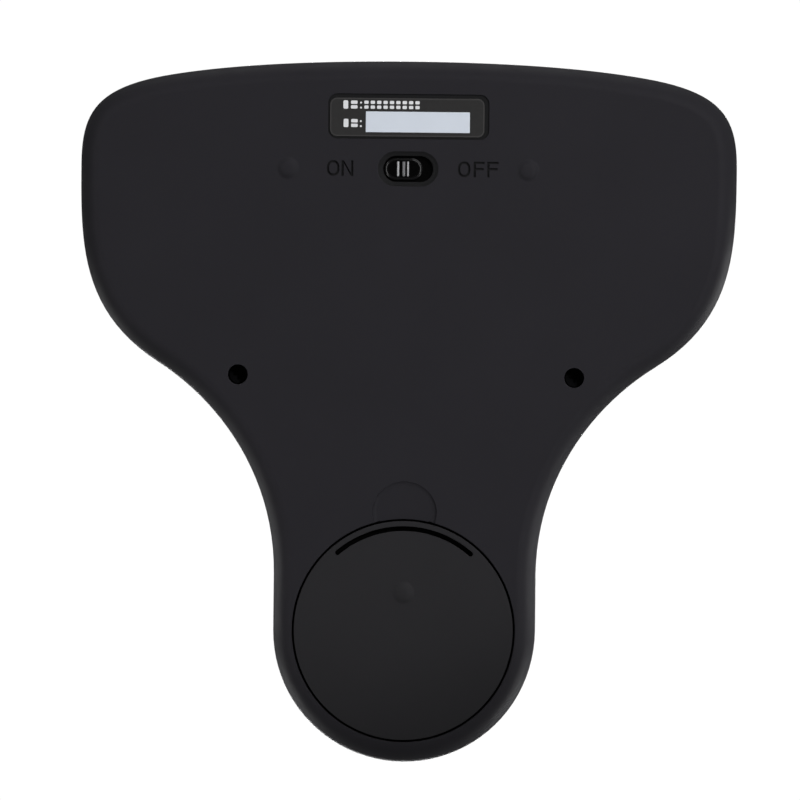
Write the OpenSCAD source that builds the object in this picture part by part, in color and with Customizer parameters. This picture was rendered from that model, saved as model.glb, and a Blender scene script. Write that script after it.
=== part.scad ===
// Display and control unit of a digital bathroom scale: a T-shaped two-shell
// case that lies face up on three small domes, with its battery cover, power
// switch and rating label in the underside.
// Millimetres. +Z up through the display, +Y towards the wide head, origin on
// the surface that the unit stands on, below the middle of its box.

/* [Case] */
// Height of the moulded rest domes below the underside
foot_h = 0.8; // [0.5:0.1:1.2]
// Radius of a rest dome where it meets the underside
foot_r = 2.6; // [2:0.1:3.2]
// Height of the parting line between the two shells
seam_z = 12; // [11.6:0.1:12.4]
// Height of the front face
front_z = 25; // [24.8:0.1:25.4]
// Wall of both shells
wall = 2; // [1.8:0.1:2.2]
// Points on each curve of the case outline
curve_n = 10; // [8:1:12]

/* [Case screws] */
// Half distance between the two screw wells in the shoulders
well_x = 41.9; // [41:0.1:42.5]
// Distance of the screw wells above the middle of the unit
well_y = 9; // [8:0.5:10]
// Radius of a screw well
well_r = 2.45; // [2.35:0.05:2.6]
// Depth at which the screw heads seat
well_seat_z = 7.4; // [7:0.1:8]

/* [Battery cover] */
// Radius of the round cover
lid_r = 27.3; // [27:0.1:27.4]
// Gap between the cover and its opening
lid_gap = 0.5; // [0.4:0.1:0.6]
// Thickness of the cover
lid_t = 1.8; // [1.6:0.1:1.9]
// Middle radius of the slot that frees the latch strip
slot_r = 25.4; // [25.2:0.1:25.8]
// Width of that slot
slot_w = 1.2; // [1:0.05:1.4]
// Half angle of that slot
slot_half = 41; // [32:1:44]

/* [Finger recess] */
// Radius of the finger recess above the cover
recess_r = 7.8; // [7:0.1:8.4]
// Slope of its floor, deepest at the cover
recess_tilt = 3.5; // [2:0.5:5]

/* [Power switch] */
// Length of the slide opening
sw_len = 12.35; // [12.2:0.05:12.8]
// Width of the slide opening
sw_w = 6.4; // [6:0.1:6.8]
// Length of the knob
knob_len = 9.4; // [9:0.1:9.5]
// Width of the knob
knob_w = 5; // [4.6:0.1:5.4]
// Travel of the knob between on and off
knob_travel = 2.3; // [2:0.1:2.4]

/* [Rating label] */
// Width of the label recess
label_w = 40.1; // [39:0.1:41]
// Height of the label recess
label_h = 11.2; // [11:0.1:12]
// Depth of the label recess
label_d = 0.5; // [0.3:0.1:0.7]

/* [Display] */
// Width of the liquid-crystal glass
lcd_w = 110; // [104:1:112]
// Height of the liquid-crystal glass
lcd_h = 44; // [40:1:46]
// Distance of the glass above the middle of the unit
lcd_y = 48.5; // [47:0.5:50]
// Thickness of the display window
lens_t = 1.2; // [1:0.1:1.2]

/* [Buttons] */
// Radius of the round button
main_r = 13.7; // [12:0.1:14]
// Length of each arrow button
arrow_len = 17.4; // [15:0.1:18]
// Width of each arrow button
arrow_w = 8.4; // [7:0.1:9]
// Travel of every button
button_travel = 0.5; // [0.3:0.1:0.5]

/* [Batteries] */
// Radius of a battery cell
cell_r = 5.25; // [5:0.05:5.25]
// Length of a battery cell over its button
cell_len = 44.5; // [44:0.1:44.5]

/* [Hidden] */
$fn = 48;
eps = 0.01;

face_z = foot_h;                 // underside plane
lid_y = -54.4;                   // centre of the battery cover
sw_y = 60.6;                     // centre of the power switch
label_y = 73.6;                  // centre of the label recess
main_y = -50;                    // centre of the round button
arrow_x = 14;                    // centres of the arrow buttons
arrow_y = -16;
tail_screw_y = -72.5;            // screw under the battery cover
board_z = 16;                    // underside of the main board
board_t = 1.6;
board_top = board_z + board_t;
ceil_z = front_z - 2.4;          // inside of the front face
ledge_z = front_z - lens_t - 0.2;// seat of the window
board_posts = [[66, 50], [-66, 50], [24, -32], [-24, -32]];
case_posts = [[well_x, well_y], [-well_x, well_y], [0, tail_screw_y]];
hinge_y = -81.8;                 // hinge line of the battery cover
hook_r = 2.65;                   // inner radius of its hooks about that line
hook_x = 6;                      // half distance between them

// ---- outline of the case: four Bezier curves and one arc on the right half
top_c = [[0, 87.5], [27, 87.5], [46, 86], [59, 83.8]];
corner_c = [[59, 83.8], [78, 80.6], [81.9, 74.4], [81.9, 61.4]];
flank_c = [[81.9, 61.4], [81.9, 41.5], [81.9, 24.2], [62, 11.7]];
waist_c = [[62, 11.7], [46, 1.6], [32.7, -17], [32.7, -40.7]];
tail_r = 32.7;
tail_c = [0, -54.8];

function bz(p, t) = pow(1 - t, 3) * p[0] + 3 * t * pow(1 - t, 2) * p[1]
    + 3 * t * t * (1 - t) * p[2] + pow(t, 3) * p[3];
function dbz(p, t) = 3 * pow(1 - t, 2) * (p[1] - p[0])
    + 6 * t * (1 - t) * (p[2] - p[1]) + 3 * t * t * (p[3] - p[2]);
// a point of the curve moved d towards the inside of the case
function inset(p, t, d) = let (v = dbz(p, t), n = norm(v))
    bz(p, t) - d * [-v[1], v[0]] / n;
function half(d, n = curve_n) = [
    for (i = [0:n - 1]) inset(top_c, i / n, d),
    for (i = [0:n - 1]) inset(corner_c, i / n, d),
    for (i = [0:n - 1]) inset(flank_c, i / n, d),
    for (i = [0:n]) inset(waist_c, i / n, d),
    for (i = [0:n]) tail_c + (tail_r - d) * [cos(90 * i / n), -sin(90 * i / n)]
];
// the display window follows the head inside the case
win_a = [[0, 78], [26, 78], [42, 76.8], [55, 74.6]];
win_b = [[55, 74.6], [68, 72.4], [72.5, 68], [72.5, 59]];
win_c = [[72.5, 59], [72.5, 44], [71, 32], [58, 24]];
win_d = [[58, 24], [50, 19], [30, 16], [0, 16]];
function win_half(d, n = curve_n) = [
    for (i = [0:n - 1]) inset(win_a, i / n, d),
    for (i = [0:n - 1]) inset(win_b, i / n, d),
    for (i = [0:n - 1]) inset(win_c, i / n, d),
    for (i = [0:n]) inset(win_d, i / n, d)
];
function full(h) = concat(h, [for (i = [len(h) - 2:-1:1]) [-h[i][0], h[i][1]]]);

// A closed skin through mirrored rings. Each entry of rings is [half, z]; the
// first ring is capped facing down and the last facing up.
module skin(rings) {
    m = len(rings[0][0]) - 1;
    n = 2 * m;
    pts = [for (r = rings) for (p = full(r[0])) [p[0], p[1], r[1]]];
    last = (len(rings) - 1) * n;
    function l(i) = (n - i) % n;
    sides = [for (k = [0:len(rings) - 2]) for (i = [0:n - 1])
        [k * n + i, k * n + (i + 1) % n, (k + 1) * n + (i + 1) % n, (k + 1) * n + i]];
    under = [for (i = [0:m - 1]) i == 0 ? [l(1), 1, 0] : i == m - 1 ? [m, i, l(i)]
        : [l(i + 1), i + 1, i, l(i)]];
    over = [for (i = [0:m - 1]) i == 0 ? [last, last + 1, last + l(1)]
        : i == m - 1 ? [last + l(i), last + i, last + m]
        : [last + l(i), last + i, last + i + 1, last + l(i + 1)]];
    polyhedron(pts, concat(under, sides, over));
}
module plate(h, z0, z1) {
    translate([0, 0, z0]) linear_extrude(z1 - z0) polygon(full(h));
}

// ---- small shared shapes
module cyl(x, y, r, z0, z1) { translate([x, y, z0]) cylinder(r = r, h = z1 - z0); }
module box(x, y, sx, sy, z0, z1) {
    translate([x - sx / 2, y - sy / 2, z0]) cube([sx, sy, z1 - z0]);
}
module pill2(len, w) {
    square([len - w, w], center = true);
    for (s = [-1, 1]) translate([s * (len - w) / 2, 0]) circle(d = w);
}
module pill(x, y, len, w, z0, z1) {
    translate([x, y, z0]) linear_extrude(z1 - z0) pill2(len, w);
}
module rrect2(w, h, r) {
    square([w - 2 * r, h], center = true);
    square([w, h - 2 * r], center = true);
    for (a = [-1, 1], b = [-1, 1])
        translate([a * (w / 2 - r), b * (h / 2 - r)]) circle(r);
}
module rrect(x, y, w, h, r, z0, z1) {
    translate([x, y, z0]) linear_extrude(z1 - z0) rrect2(w, h, r);
}
// rest dome: a spherical cap with a small flat tip at z = 0
module dome(x, y) {
    R = (foot_r * foot_r + foot_h * foot_h) / (2 * foot_h);
    intersection() {
        translate([x, y, R - 0.05]) sphere(R);
        cyl(x, y, foot_r + 1, 0, face_z + 0.2);
    }
}
// a tube of radius r along a list of points, with flat ends
function unit(v) = v / max(norm(v), 1e-9);
module tube(path, r, ref, sides = 8) {
    // ref is a direction that the path never runs along
    n = len(path);
    dir = [for (i = [0:n - 1]) unit(path[min(i + 1, n - 1)] - path[max(i - 1, 0)])];
    pts = [for (i = [0:n - 1])
        let (u = unit(cross(dir[i], ref)), v = cross(u, dir[i]))
        for (j = [0:sides - 1]) path[i] + r * (cos(360 * j / sides) * u + sin(360 * j / sides) * v)];
    polyhedron(pts, concat(
        [[for (j = [sides - 1:-1:0]) j]],
        [for (i = [0:n - 2]) for (j = [0:sides - 1])
            [i * sides + j, i * sides + (j + 1) % sides,
             (i + 1) * sides + (j + 1) % sides, (i + 1) * sides + j]],
        [[for (j = [0:sides - 1]) (n - 1) * sides + j]]));
}
// a coil spring that widens towards its foot, along X from x0 to x1
function coil(x0, x1, y, z, r0, r1, turns, n) = [for (i = [0:n])
    let (t = i / n, a = 360 * turns * t, r = r0 + (r1 - r0) * t)
    [x0 + (x1 - x0) * t, y + r * cos(a), z + r * sin(a)]];

// ---- case shells
module rear_cover() {
    f = face_z;
    color([0.15, 0.15, 0.16]) difference() {
        union() {
            skin([
                [half(5), f], [half(3.4), f + 0.5], [half(1.9), f + 1.7],
                [half(0.8), f + 3.6], [half(0.2), f + 5.8], [half(0), f + 7.7],
                [half(0), seam_z],
                [half(wall), seam_z], [half(wall), f + 7.7],
                [half(wall + 0.2), f + 6], [half(wall + 1), f + 4.1],
                [half(wall + 2.4), f + 2.7], [half(wall + 4.3), f + wall]
            ]);
            for (s = [-1, 1]) dome(s * 29.9, 60.5);
            // screw wells and the boss under the battery cover
            for (p = case_posts) cyl(p[0], p[1], 3.9, f + 1, 9.2);
            // cover seat and battery well
            cyl(0, lid_y, lid_r + lid_gap + 1.8, f + 1.2, 4.6);
            box(0, lid_y, 52.6, 24.6, f + 1.2, 15.2);
            // switch board bosses and knob rails
            for (s = [-1, 1]) {
                cyl(s * 14, sw_y, 2.6, f + 1, 7.8);
                box(0, sw_y + s * 5, 24, 1.2, f + 1, 4);
            }
            // stiffening ribs
            for (s = [-1, 1]) {
                box(s * 30, 36, 1.2, 36, f + 1, 6);
                box(s * 56, 46, 1.2, 44, f + 1, 6);
            }
            box(0, 24, 60, 1.2, f + 1, 6);
        }
        for (s = [-1, 1]) {
            cyl(s * well_x, well_y, well_r, -1, well_seat_z);
            cyl(s * well_x, well_y, 1.5, 2, 10);
            cyl(s * 14, sw_y, 0.8, 4, 8);
        }
        cyl(0, tail_screw_y, well_r, -1, well_seat_z);
        cyl(0, tail_screw_y, 1.5, 2, 10);
        // opening for the battery cover, its well, hook slots and contact slots
        cyl(0, lid_y, lid_r + lid_gap, -1, 3);
        box(0, lid_y, 49.6, 21.6, 2, 14.2);
        for (s = [-1, 1]) box(s * hook_x, -80.6, 4, 6, 2.9, 6);
        for (y = [-49, -59.8]) box(-26, y, 4, 3.4, 11.8, 12.6);
        // finger recess with a sloping floor
        translate([0, -24.9 + recess_r, f + 0.35]) rotate([-recess_tilt, 0, 0])
            translate([0, -recess_r, -5]) cylinder(r = recess_r, h = 5);
        // label recess
        rrect(0, label_y, label_w, label_h, 2.3, -1, f + label_d);
        // switch opening with a sloping rim
        pill(0, sw_y, sw_len, sw_w, -1, 5);
        hull() {
            pill(0, sw_y, sw_len + 3.2, sw_w + 2.5, f - 0.5, f);
            pill(0, sw_y, sw_len, sw_w, f + 0.9, f + 1);
        }
    }
}
module front_cover() {
    color([0.15, 0.15, 0.16]) difference() {
        union() {
            skin([
                [half(8.2), ceil_z], [half(5.6), ceil_z - 0.6],
                [half(4), ceil_z - 2], [half(2.9), ceil_z - 4],
                [half(2.2), ceil_z - 6.2], [half(wall), 14],
                [half(wall + 1.2), 13.2], [half(wall + 1.2), seam_z - 1.6],
                [half(wall + 0.15), seam_z - 1.6], [half(wall + 0.15), seam_z],
                [half(0), seam_z], [half(0), front_z - 8],
                [half(0.3), front_z - 5.6], [half(1.1), front_z - 3.4],
                [half(2.4), front_z - 1.6], [half(4.2), front_z - 0.4],
                [half(6.2), front_z]
            ]);
            for (p = case_posts) cyl(p[0], p[1], 3.1, 9.4, ceil_z + 1);
            for (p = board_posts) cyl(p[0], p[1], 2.8, board_top, ceil_z + 1);
        }
        for (p = case_posts) cyl(p[0], p[1], 1.1, 9, 18);
        for (p = board_posts) cyl(p[0], p[1], 0.85, board_top - 1, board_top + 3.6);
        // window seat and the opening over the display
        plate(win_half(-0.15), ledge_z, front_z + 1);
        rrect(0, lcd_y, lcd_w - 6, lcd_h - 6, 2, ceil_z - 1, front_z);
        // button openings
        cyl(0, main_y, main_r + 0.3, ceil_z - 1, front_z + 1);
        for (s = [-1, 1])
            pill(s * arrow_x, arrow_y, arrow_len + 0.6, arrow_w + 0.6, ceil_z - 1, front_z + 1);
    }
}

// ---- battery cover
module arc_slot(r, w, half_a, z0, z1) {
    translate([0, 0, z0]) rotate([0, 0, 90 - half_a])
        rotate_extrude(angle = 2 * half_a) translate([r - w / 2, 0]) square([w, z1 - z0]);
    for (s = [-1, 1]) rotate([0, 0, 90 + s * half_a]) cyl(r, 0, w / 2, z0, z1);
}
module battery_cover() {
    f = face_z;
    color([0.15, 0.15, 0.16]) difference() {
        union() {
            cyl(0, lid_y, lid_r, f, f + lid_t);
            dome(0, -45);
            // latch lip on the strip outside the slot
            translate([0, lid_y, f + 1]) rotate([0, 0, 82])
                rotate_extrude(angle = 16) translate([lid_r - 0.5, 0]) square([0.65, lid_t - 1]);
            // two hooks, round about the line that the cover swings on
            for (s = [-1, 1])
                translate([s * hook_x - 1.6, hinge_y, f]) rotate([90, 0, 90]) linear_extrude(3.2)
                    intersection() {
                        difference() { circle(hook_r + 0.95); circle(hook_r); }
                        polygon([[-0.23, 0.5], [6, 0.5], [6, 6], [-2.8, 6]]);
                    }
        }
        translate([0, lid_y, 0]) arc_slot(slot_r, slot_w, slot_half, f - 1, f + 3);
    }
}
module battery_foam_pad() {
    color([0.25, 0.25, 0.27]) box(0, lid_y, 30, 18, face_z + lid_t, 3.1);
}

// ---- display
module display_window() {
    color([0.04, 0.04, 0.05, 0.9]) plate(win_half(0), front_z - lens_t, front_z);
}
module window_gasket() {
    color([0.1, 0.1, 0.1]) difference() {
        plate(win_half(0.2), ledge_z, front_z - lens_t);
        rrect(0, lcd_y, lcd_w - 5, lcd_h - 5, 2, ledge_z - 1, front_z);
    }
}
module lcd_glass() {
    color([0.75, 0.8, 0.78]) {
        box(0, lcd_y, lcd_w, lcd_h, board_top + 3, board_top + 3.9);
        box(0, lcd_y, lcd_w, lcd_h - 5, board_top + 3.9, board_top + 4.7);
    }
}
module lcd_polarizer() {
    color([0.2, 0.22, 0.22]) box(0, lcd_y, lcd_w - 2, lcd_h - 6, board_top + 4.7, board_top + 4.85);
}
module lcd_backlight() {
    color([0.93, 0.95, 0.97]) box(0, lcd_y, lcd_w - 4, lcd_h - 10, board_top + 0.2, board_top + 3);
}
module lcd_frame() {
    color([0.08, 0.08, 0.08]) difference() {
        box(0, lcd_y, lcd_w + 5, lcd_h + 5, board_top, board_top + 4.6);
        box(0, lcd_y, lcd_w + 0.4, lcd_h + 0.4, board_top + 3 - eps, board_top + 6);
        box(0, lcd_y, lcd_w - 3.6, lcd_h - 9.6, board_top - 1, board_top + 6);
        for (s = [-1, 1]) box(0, lcd_y + s * (lcd_h / 2 - 2), lcd_w - 6, 2.4, board_top - 1, board_top + 6);
    }
}
module zebra_strips() {
    color([0.85, 0.45, 0.5]) for (s = [-1, 1])
        box(0, lcd_y + s * (lcd_h / 2 - 2), lcd_w - 7, 2, board_top, board_top + 3);
}

// ---- main board and what is on it
module main_board() {
    color([0.07, 0.32, 0.16]) difference() {
        plate(half(7), board_z, board_top);
        for (p = case_posts) cyl(p[0], p[1], 3.6, board_z - 1, board_top + 1);
        for (p = board_posts) cyl(p[0], p[1], 1.2, board_z - 1, board_top + 1);
    }
}
module microcontroller() {
    color([0.06, 0.06, 0.07]) {
        box(-26, 44, 10, 10, board_z - 1.5, board_z - 0.1);
        for (a = [0:90:270]) translate([-26, 44, 0]) rotate([0, 0, a])
            for (i = [-3.5:1:3.5]) box(i, 5.5, 0.4, 1.4, board_z - 0.5, board_z);
    }
}
module radio_module() {
    color([0.75, 0.75, 0.78]) {
        box(28, 48, 18, 14, board_z - 0.8, board_z);
        box(30, 48, 12, 12, board_z - 2.8, board_z - 0.8);
    }
}
module crystal() {
    color([0.8, 0.8, 0.82]) pill(-10, 44, 10.5, 4, board_z - 3.6, board_z);
}
module smoothing_capacitor() {
    color([0.12, 0.12, 0.3]) {
        cyl(-10, 30, 3.15, board_z - 6, board_z);
    }
}
module chip_parts() {
    color([0.55, 0.45, 0.35]) {
        for (i = [0:4]) box(-40 + 4 * i, 34, 2, 1.2, board_z - 0.6, board_z);
        for (i = [0:3]) box(2 + 4 * i, 36, 2, 1.2, board_z - 0.6, board_z);
        for (i = [0:2]) box(-6 + 6 * i, -24, 1.6, 3, board_z - 0.6, board_z);
    }
}
tact_at = [[0, main_y], [arrow_x, arrow_y], [-arrow_x, arrow_y]];
module tact_switches() {
    color([0.1, 0.1, 0.1]) for (p = tact_at) difference() {
        box(p[0], p[1], 6, 6, board_top, board_top + 3.4);
        cyl(p[0], p[1], 1.9, board_top + 2, board_top + 5);
    }
}
module plunger(p) {
    color([0.2, 0.2, 0.2]) cyl(p[0], p[1], 1.6, board_top + 2.8, board_top + 3.6);
}
module cap_nub(p) { cyl(p[0], p[1], 1.5, board_top + 3.6, board_top + 4.3); }

// ---- buttons
module main_button() {
    color([0.13, 0.13, 0.14]) {
        cap_nub([0, main_y]);
        cyl(0, main_y, main_r + 1.8, board_top + 4.1, ceil_z - 0.1);
        // crowned cap with a shallow finger dish
        translate([0, main_y, 0]) rotate_extrude() polygon([
            [0, board_top + 4.5], [main_r, board_top + 4.5], [main_r, front_z + 0.5],
            [main_r - 0.3, front_z + 0.85], [main_r - 0.9, front_z + 1],
            [main_r - 2.2, front_z + 0.95], [main_r - 5, front_z + 0.65],
            [main_r - 9, front_z + 0.4], [0, front_z + 0.3]]);
    }
}
module arrow_button(s) {
    color([0.13, 0.13, 0.14]) {
        cap_nub([s * arrow_x, arrow_y]);
        pill(s * arrow_x, arrow_y, arrow_len + 2.6, arrow_w + 2.6, board_top + 4.1, ceil_z - 0.1);
        pill(s * arrow_x, arrow_y, arrow_len, arrow_w, board_top + 4.5, front_z + 0.5);
        pill(s * arrow_x, arrow_y, arrow_len - 0.8, arrow_w - 0.8, front_z + 0.4, front_z + 0.8);
    }
}

// ---- fasteners
module pan_screw(x, y, z, head_r, head_h, r, len) {
    // head below z, thread above it, driven from below
    difference() {
        union() {
            cyl(x, y, head_r, z - head_h, z);
            cyl(x, y, r, z - eps, z + len);
        }
        for (a = [0, 90]) translate([x, y, z - head_h - 0.1]) rotate([0, 0, a])
            translate([-head_r * 0.62, -0.3, 0]) cube([head_r * 1.24, 0.6, head_h * 0.6]);
    }
}
module case_screws() {
    color([0.35, 0.35, 0.37]) for (p = case_posts)
        pan_screw(p[0], p[1], well_seat_z, 2.25, 1.8, 1.05, 9);
}
module board_screws() {
    color([0.75, 0.75, 0.78]) for (p = board_posts)
        pan_screw(p[0], p[1], board_z, 1.9, 1.3, 0.8, 4.6);
}
module switch_board_screws() {
    color([0.75, 0.75, 0.78]) for (s = [-1, 1]) translate([s * 14, sw_y, 9])
        mirror([0, 0, 1]) pan_screw(0, 0, 0, 1.8, 1.2, 0.75, 4.4);
}

// ---- power switch
knob_x = knob_travel / 2;        // rests in the on position
module power_knob() {
    color([0.03, 0.03, 0.03]) difference() {
        union() {
            pill(knob_x, sw_y, knob_len - 0.4, knob_w, face_z + 0.5, face_z + 2.5);
            pill(knob_x, sw_y, knob_len, knob_w + 0.6, face_z + 1, face_z + 2.5);
            // three grip ridges
            for (i = [-1:1]) box(knob_x + 0.4 + 1.35 * i, sw_y, 0.55, knob_w - 1, face_z + 0.15, face_z + 1);
            // sliding flange inside the case
            rrect(knob_x, sw_y, 19, 8, 1, face_z + wall + 0.3, face_z + wall + 1);
        }
        box(knob_x, sw_y, 1.7, 2.2, face_z + 1.3, 5);
    }
}
module power_switch_lever() {
    color([0.12, 0.12, 0.12]) box(knob_x, sw_y, 1.5, 2, face_z + 1.4, 6);
}
module power_switch_housing() {
    color([0.72, 0.72, 0.74]) {
        difference() {
            box(0, sw_y, 8.6, 4.4, 4.6, 7.8);
            box(0, sw_y, 4.4, 2.6, 4, 6.3);
        }
        for (i = [-1:1]) box(2.5 * i, sw_y, 0.5, 0.3, 7.8 - eps, 10.2);
    }
}
module power_switch_board() {
    color([0.55, 0.42, 0.2]) difference() {
        rrect(0, sw_y, 34, 8, 1, 7.8, 9);
        for (s = [-1, 1]) cyl(s * 14, sw_y, 1, 7, 10);
        for (i = [-1:1]) box(2.5 * i, sw_y, 0.7, 0.5, 7, 10);
    }
}

// ---- batteries and contacts
cell_z = 8.7;
module cell(y, s) {
    // s = 1 has its button towards +X
    color([0.16, 0.2, 0.26]) translate([0, y, cell_z]) rotate([0, s > 0 ? 90 : -90, 0]) {
        translate([0, 0, 24.4 - cell_len]) cylinder(r = cell_r, h = cell_len - 1);
        translate([0, 0, 23.3]) cylinder(r = 1.9, h = 1.1);
    }
}
module contact_positive() {
    color([0.82, 0.8, 0.72]) {
        box(-24.6, -59.8, 0.4, 8, 4.6, 13.4);
        box(-26.1, -59.8, 2.8, 3, 12, 12.4);
    }
}
module contact_negative() {
    color([0.82, 0.8, 0.72]) {
        box(-24.6, -49, 0.4, 8, 4.6, 13.4);
        box(-26.1, -49, 2.8, 3, 12, 12.4);
        tube(coil(-24.5, -20.45, -49, cell_z, 3.2, 1.9, 3, 42), 0.3, [1, 0, 0], 6);
    }
}
module contact_bridge() {
    color([0.82, 0.8, 0.72]) {
        box(24.6, -54.4, 0.4, 18.8, 4.6, 13.4);
        tube(coil(24.5, 20.45, -59.8, cell_z, 3.2, 1.9, 3, 42), 0.3, [1, 0, 0], 6);
    }
}

// ---- internal wires, each soldered at both ends
module battery_wire_red() {
    color([0.7, 0.08, 0.06]) tube([[-27, -59.8, 12.4], [-27, -59.8, 13.2],
        [-27.5, -59, 13.8], [-28.3, -57, 14], [-28.4, -52, 14], [-28.4, -46, 14],
        [-28, -38, 14], [-26.5, -31, 14], [-24, -27, 14.1], [-21.6, -25, 14.4],
        [-20.6, -24.3, 14.9], [-20.4, -24.2, 15.4], [-20.4, -24.2, 16]], 0.55, [1, -1, 0]);
}
module battery_wire_black() {
    color([0.05, 0.05, 0.05]) tube([[-27, -49, 12.4], [-27, -49, 13],
        [-27.1, -48.3, 13.4], [-27.2, -46.5, 13.2], [-27.2, -44, 12.7], [-27, -38, 12.4],
        [-24.5, -30, 12.3], [-19, -26, 12.6], [-15.8, -24.5, 13.7], [-15, -24.2, 15],
        [-15, -24.2, 16]], 0.55, [1, -1, 0]);
}
module switch_wires() {
    color([0.75, 0.2, 0.1]) for (s = [-1, 1])
        tube([[s * 7, sw_y - 2, 9], [s * 7, sw_y - 2, 9.8], [s * 7.4, sw_y - 3.6, 11],
            [s * 8.6, sw_y - 8, 12], [s * 9.4, sw_y - 11, 13], [s * 9.6, sw_y - 12, 14.8],
            [s * 9.6, sw_y - 12, 16]], 0.5, [1, 0, 0]);
}

// ---- label
module rating_label() {
    color([0.2, 0.19, 0.19]) rrect(0.35, label_y - 0.2, 38.6, 9.7, 1.8, face_z + label_d - 0.18, face_z + label_d);
}
module serial_sticker() {
    color([0.82, 0.85, 0.9]) box(-2.3, label_y - 1.35, 25.9, 5.15, face_z + label_d - 0.28, face_z + label_d - 0.18);
}

rear_cover();
front_cover();
battery_cover();
battery_foam_pad();
display_window();
window_gasket();
lcd_glass();
lcd_polarizer();
lcd_backlight();
lcd_frame();
zebra_strips();
main_board();
microcontroller();
radio_module();
crystal();
smoothing_capacitor();
chip_parts();
tact_switches();
board_screws();
case_screws();
power_switch_board();
power_switch_housing();
switch_board_screws();
power_knob();
power_switch_lever();
main_button();
plunger(tact_at[0]);  // main_plunger
arrow_button(-1);  // up_button
plunger(tact_at[2]);  // up_plunger
arrow_button(1);  // down_button
plunger(tact_at[1]);  // down_plunger
cell(-49, 1);  // battery_upper
cell(-59.8, -1);  // battery_lower
contact_positive();
contact_negative();
contact_bridge();
battery_wire_red();
battery_wire_black();
switch_wires();
rating_label();
serial_sticker();
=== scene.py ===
"""Looks of the display and control unit of a digital bathroom scale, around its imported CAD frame."""

import math

import bmesh
import bpy
import numpy as np
from mathutils import Matrix, Vector


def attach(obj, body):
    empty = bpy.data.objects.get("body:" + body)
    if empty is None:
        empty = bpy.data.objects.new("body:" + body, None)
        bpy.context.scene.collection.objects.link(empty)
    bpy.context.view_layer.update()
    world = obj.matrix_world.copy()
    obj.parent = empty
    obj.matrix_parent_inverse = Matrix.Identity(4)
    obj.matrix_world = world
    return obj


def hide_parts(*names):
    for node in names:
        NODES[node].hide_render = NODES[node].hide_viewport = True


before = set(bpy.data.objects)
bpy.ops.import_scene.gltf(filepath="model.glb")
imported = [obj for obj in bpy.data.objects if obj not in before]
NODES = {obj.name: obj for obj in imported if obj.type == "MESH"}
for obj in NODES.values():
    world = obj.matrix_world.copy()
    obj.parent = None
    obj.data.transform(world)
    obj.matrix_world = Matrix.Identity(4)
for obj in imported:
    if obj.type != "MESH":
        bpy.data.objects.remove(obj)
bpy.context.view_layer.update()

# ------------------------------------------------------------------ camera
# Straight up at the underside from far below, +Y at the top of the picture.
ROLL = math.radians(0.62)
LENS = 400.0
cam_data = bpy.data.cameras.new("camera")
cam_data.type = "PERSP"
cam_data.lens = LENS
cam_data.sensor_width = 36.0
cam_data.clip_start, cam_data.clip_end = 0.05, 60.0
camera = bpy.data.objects.new("camera", cam_data)
bpy.context.scene.collection.objects.link(camera)
right = Vector((-math.cos(ROLL), math.sin(ROLL), 0))
up = Vector((math.sin(ROLL), math.cos(ROLL), 0))
shift = -1.575e-3 * right + 2.95e-3 * up
distance = 0.200 / 36.0 * LENS
back = (right * math.sin(math.radians(1.45)) + up * math.sin(math.radians(0.8)) - Vector((0, 0, 1))).normalized()
right = up.cross(back).normalized()
up = back.cross(right)
eye = shift + Vector((0, 0, 0.0092)) + back * distance
camera.matrix_world = Matrix((
    (right.x, up.x, back.x, eye.x), (right.y, up.y, back.y, eye.y), (right.z, up.z, back.z, eye.z), (0, 0, 0, 1)))
bpy.context.scene.camera = camera


# ------------------------------------------------------------------ mesh helpers
def bez(p, t):
    p, t = np.array(p, float), t[:, None]
    return (1 - t) ** 3 * p[0] + 3 * t * (1 - t) ** 2 * p[1] + 3 * t * t * (1 - t) * p[2] + t ** 3 * p[3]


def dbez(p, t):
    p, t = np.array(p, float), t[:, None]
    return 3 * (1 - t) ** 2 * (p[1] - p[0]) + 6 * t * (1 - t) * (p[2] - p[1]) + 3 * t * t * (p[3] - p[2])


def inset(p, t, d):
    v = dbez(p, t)
    v /= np.linalg.norm(v, axis=1)[:, None]
    return bez(p, t) - d * np.stack([-v[:, 1], v[:, 0]], 1)


TOP = [[0, 87.5], [27, 87.5], [46, 86], [59, 83.8]]
CORNER = [[59, 83.8], [78, 80.6], [81.9, 74.4], [81.9, 61.4]]
FLANK = [[81.9, 61.4], [81.9, 41.5], [81.9, 24.2], [62, 11.7]]
WAIST = [[62, 11.7], [46, 1.6], [32.7, -17], [32.7, -40.7]]
TAIL_R, TAIL_Y = 32.7, -54.8
WIN = [[[0, 78], [26, 78], [42, 76.8], [55, 74.6]], [[55, 74.6], [68, 72.4], [72.5, 68], [72.5, 59]],
       [[72.5, 59], [72.5, 44], [71, 32], [58, 24]], [[58, 24], [50, 19], [30, 16], [0, 16]]]


def mirrored(h):
    return np.concatenate([h, (h * [-1, 1])[-2:0:-1]])


def outline(d, n=22):
    """The case outline moved d mm inwards, clockwise from the middle of the top edge."""
    t = np.arange(n) / n
    a = np.linspace(0, math.pi / 2, n + 1)
    return mirrored(np.concatenate([
        inset(TOP, t, d), inset(CORNER, t, d), inset(FLANK, t, d), inset(WAIST, t, d),
        [[32.7 - d, -40.7 - 14.1 * k / 4] for k in range(4)],
        np.stack([(TAIL_R - d) * np.cos(a), TAIL_Y - (TAIL_R - d) * np.sin(a)], 1)]))


def window(d, n=20):
    t = np.arange(n) / n
    return mirrored(np.concatenate([inset(c, t, d) for c in WIN[:3]] + [inset(WIN[3], np.linspace(0, 1, n + 1), d)]))


def circle(x, y, r, n=96):
    a = -2 * math.pi * np.arange(n) / n
    return np.stack([x + r * np.cos(a), y + r * np.sin(a)], 1)


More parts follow.
